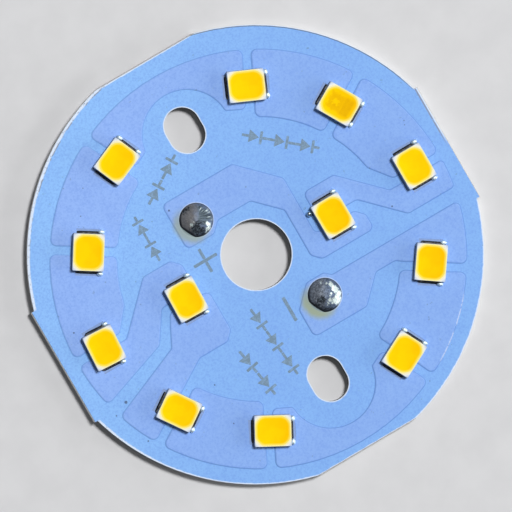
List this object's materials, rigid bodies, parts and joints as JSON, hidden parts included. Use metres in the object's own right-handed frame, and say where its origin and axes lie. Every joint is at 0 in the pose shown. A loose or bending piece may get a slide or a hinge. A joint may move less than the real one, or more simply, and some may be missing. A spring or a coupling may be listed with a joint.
{
  "type": "led board",
  "caption": "Round aluminium-core circuit board with a ring of white LEDs wired in series, a centre hole, screw slots and tinned wire pads.",
  "frame": {"origin": "on the centre hole's axis, at the bare aluminium back face", "axes": "+Z out of the lit face, Y through both screw slots, X through the two inner LEDs"},
  "size_m": [0.039, 0.0388, 0.0019],
  "materials": {
    "aluminium_core": "punched sheet, bare back and bright sheared edges",
    "insulation": "filled epoxy",
    "mask": "pale blue solder mask, satin",
    "copper": "etched foil, under the mask",
    "solder": "bright tin solder with a wrinkled skin",
    "led_housing": "white moulding",
    "lead_frame": "silver-plated copper strip",
    "phosphor": "yellow phosphor in clear silicone",
    "die": "sapphire chip",
    "bond_wire": "gold wire"
  },
  "bodies": {
    "root": {"base_plate": "aluminium_core", "insulation_layer": "insulation", "solder_mask": "mask", "copper_plus_run": "copper", "copper_link_1": "copper", "copper_link_2": "copper", "copper_link_3": "copper", "copper_link_4": "copper", "copper_link_5": "copper", "copper_link_6": "copper", "copper_link_7": "copper", "copper_link_8": "copper", "copper_link_9": "copper", "copper_link_10": "copper", "copper_link_11": "copper", "copper_minus_run": "copper", "solder_dome_plus": "solder", "solder_dome_minus": "solder", "solder_bead": "solder", "led_solder_joints": "solder", "led_dies": "die", "led_bond_wires": "bond_wire", "led_1_housing": "led_housing", "led_1_leads": "lead_frame", "led_1_phosphor": "phosphor", "led_2_housing": "led_housing", "led_2_leads": "lead_frame", "led_2_phosphor": "phosphor", "led_3_housing": "led_housing", "led_3_leads": "lead_frame", "led_3_phosphor": "phosphor", "led_4_housing": "led_housing", "led_4_leads": "lead_frame", "led_4_phosphor": "phosphor", "led_5_housing": "led_housing", "led_5_leads": "lead_frame", "led_5_phosphor": "phosphor", "led_6_housing": "led_housing", "led_6_leads": "lead_frame", "led_6_phosphor": "phosphor", "led_7_housing": "led_housing", "led_7_leads": "lead_frame", "led_7_phosphor": "phosphor", "led_8_housing": "led_housing", "led_8_leads": "lead_frame", "led_8_phosphor": "phosphor", "led_9_housing": "led_housing", "led_9_leads": "lead_frame", "led_9_phosphor": "phosphor", "led_10_housing": "led_housing", "led_10_leads": "lead_frame", "led_10_phosphor": "phosphor", "led_11_housing": "led_housing", "led_11_leads": "lead_frame", "led_11_phosphor": "phosphor", "led_12_housing": "led_housing", "led_12_leads": "lead_frame", "led_12_phosphor": "phosphor"}
  },
  "joints": []
}
